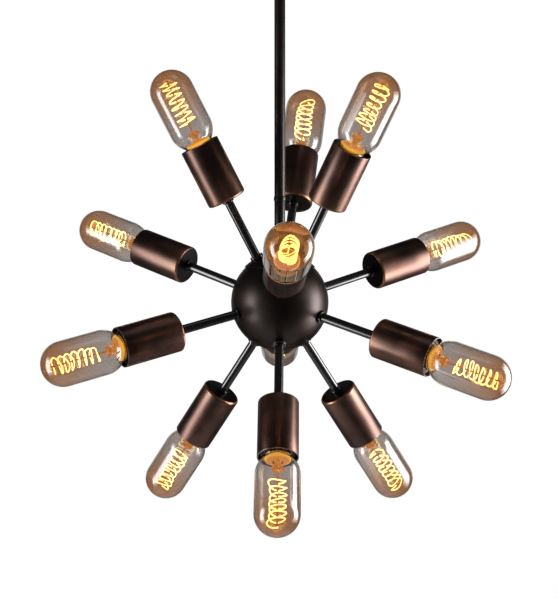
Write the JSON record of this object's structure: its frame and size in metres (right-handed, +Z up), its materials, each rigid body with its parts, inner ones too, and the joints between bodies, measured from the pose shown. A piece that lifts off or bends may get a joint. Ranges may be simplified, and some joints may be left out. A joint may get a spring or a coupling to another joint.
{
  "type": "sputnik chandelier",
  "caption": "Ball hub with radiating rod arms that end in cup lampholders with tubular bulbs, hung by a stem and slope swivel from a ceiling canopy.",
  "frame": {"origin": "middle of the ceiling fitting, on the ceiling plane", "axes": "+Z up into the ceiling, -Z down the stem; +X along the crossbar; -Y is the side that the picture shows"},
  "size_m": [0.4572, 0.514, 0.7087],
  "materials": {
    "bronze": "satin dark bronze",
    "black_gloss": "gloss",
    "zinc_steel": "bright zinc plate",
    "black_moulding": "moulded",
    "brass": "bright",
    "smoked_glass": "clear, tinted smoky amber",
    "bulb_cap": "bright",
    "filament": "glowing"
  },
  "bodies": {
    "ceiling_mount": {"ceiling_crossbar": "zinc_steel", "canopy": "bronze", "canopy_screws": "zinc_steel", "canopy_knobs": "bronze", "hanging_nipple": "zinc_steel", "nipple_lock_nut": "zinc_steel"},
    "swivel": {"swivel_yoke": "bronze", "swivel_pin": "zinc_steel"},
    "lamp_frame": {"swivel_knuckle": "bronze", "upper_stem": "black_gloss", "stem_coupling": "bronze", "lower_stem": "black_gloss", "hub_lid": "bronze", "hub_ball": "bronze", "hub_strap": "zinc_steel", "stem_lock_nut": "zinc_steel", "arm_rods": "black_gloss", "hub_collars": "black_gloss", "arm_lock_nuts": "zinc_steel", "cup_collars": "black_gloss", "lamp_cups": "bronze", "lamp_holders": "black_moulding", "screw_shells": "brass", "centre_contacts": "brass"},
    "bulb_01": {"bulb_glass_01": "smoked_glass", "bulb_base_01": "bulb_cap", "bulb_filament_01": "filament"},
    "bulb_02": {"bulb_glass_02": "smoked_glass", "bulb_base_02": "bulb_cap", "bulb_filament_02": "filament"},
    "bulb_03": {"bulb_glass_03": "smoked_glass", "bulb_base_03": "bulb_cap", "bulb_filament_03": "filament"},
    "bulb_04": {"bulb_glass_04": "smoked_glass", "bulb_base_04": "bulb_cap", "bulb_filament_04": "filament"},
    "bulb_05": {"bulb_glass_05": "smoked_glass", "bulb_base_05": "bulb_cap", "bulb_filament_05": "filament"},
    "bulb_06": {"bulb_glass_06": "smoked_glass", "bulb_base_06": "bulb_cap", "bulb_filament_06": "filament"},
    "bulb_07": {"bulb_glass_07": "smoked_glass", "bulb_base_07": "bulb_cap", "bulb_filament_07": "filament"},
    "bulb_08": {"bulb_glass_08": "smoked_glass", "bulb_base_08": "bulb_cap", "bulb_filament_08": "filament"},
    "bulb_09": {"bulb_glass_09": "smoked_glass", "bulb_base_09": "bulb_cap", "bulb_filament_09": "filament"},
    "bulb_10": {"bulb_glass_10": "smoked_glass", "bulb_base_10": "bulb_cap", "bulb_filament_10": "filament"},
    "bulb_11": {"bulb_glass_11": "smoked_glass", "bulb_base_11": "bulb_cap", "bulb_filament_11": "filament"},
    "bulb_12": {"bulb_glass_12": "smoked_glass", "bulb_base_12": "bulb_cap", "bulb_filament_12": "filament"}
  },
  "joints": [
    {"name": "stem_turn", "type": "hinge", "parent": "ceiling_mount", "child": "swivel", "pos_m": [0, 0, -0.0321], "axis": [0, 0, 1], "range_deg": [-175, 175]},
    {"name": "stem_tilt", "type": "hinge", "parent": "swivel", "child": "lamp_frame", "pos_m": [0, 0, -0.0491], "axis": [1, 0, 0], "range_deg": [-45, 45]},
    {"name": "bulb_01_unscrew", "type": "slide", "parent": "lamp_frame", "child": "bulb_01", "axis": [-0.449, -0.1373, 0.8829], "range_m": [0, 0.03]},
    {"name": "bulb_02_unscrew", "type": "slide", "parent": "lamp_frame", "child": "bulb_02", "axis": [0.121, 0.4851, 0.866], "range_m": [0, 0.03]},
    {"name": "bulb_03_unscrew", "type": "slide", "parent": "lamp_frame", "child": "bulb_03", "axis": [0.3938, -0.3546, 0.848], "range_m": [0, 0.03]},
    {"name": "bulb_04_unscrew", "type": "slide", "parent": "lamp_frame", "child": "bulb_04", "axis": [0.0339, -0.9697, 0.2419], "range_m": [0, 0.03]},
    {"name": "bulb_05_unscrew", "type": "slide", "parent": "lamp_frame", "child": "bulb_05", "axis": [-0.8318, 0.4611, 0.309], "range_m": [0, 0.03]},
    {"name": "bulb_06_unscrew", "type": "slide", "parent": "lamp_frame", "child": "bulb_06", "axis": [0.8365, 0.483, 0.2588], "range_m": [0, 0.03]},
    {"name": "bulb_07_unscrew", "type": "slide", "parent": "lamp_frame", "child": "bulb_07", "axis": [-0.8603, -0.4574, -0.225], "range_m": [0, 0.03]},
    {"name": "bulb_08_unscrew", "type": "slide", "parent": "lamp_frame", "child": "bulb_08", "axis": [0.824, -0.4951, -0.2756], "range_m": [0, 0.03]},
    {"name": "bulb_09_unscrew", "type": "slide", "parent": "lamp_frame", "child": "bulb_09", "axis": [0, 0.9613, -0.2756], "range_m": [0, 0.03]},
    {"name": "bulb_10_unscrew", "type": "slide", "parent": "lamp_frame", "child": "bulb_10", "axis": [-0.5141, 0.285, -0.809], "range_m": [0, 0.03]},
    {"name": "bulb_11_unscrew", "type": "slide", "parent": "lamp_frame", "child": "bulb_11", "axis": [-0.0105, -0.6017, -0.7986], "range_m": [0, 0.03]},
    {"name": "bulb_12_unscrew", "type": "slide", "parent": "lamp_frame", "child": "bulb_12", "axis": [0.509, 0.2939, -0.809], "range_m": [0, 0.03]}
  ]
}
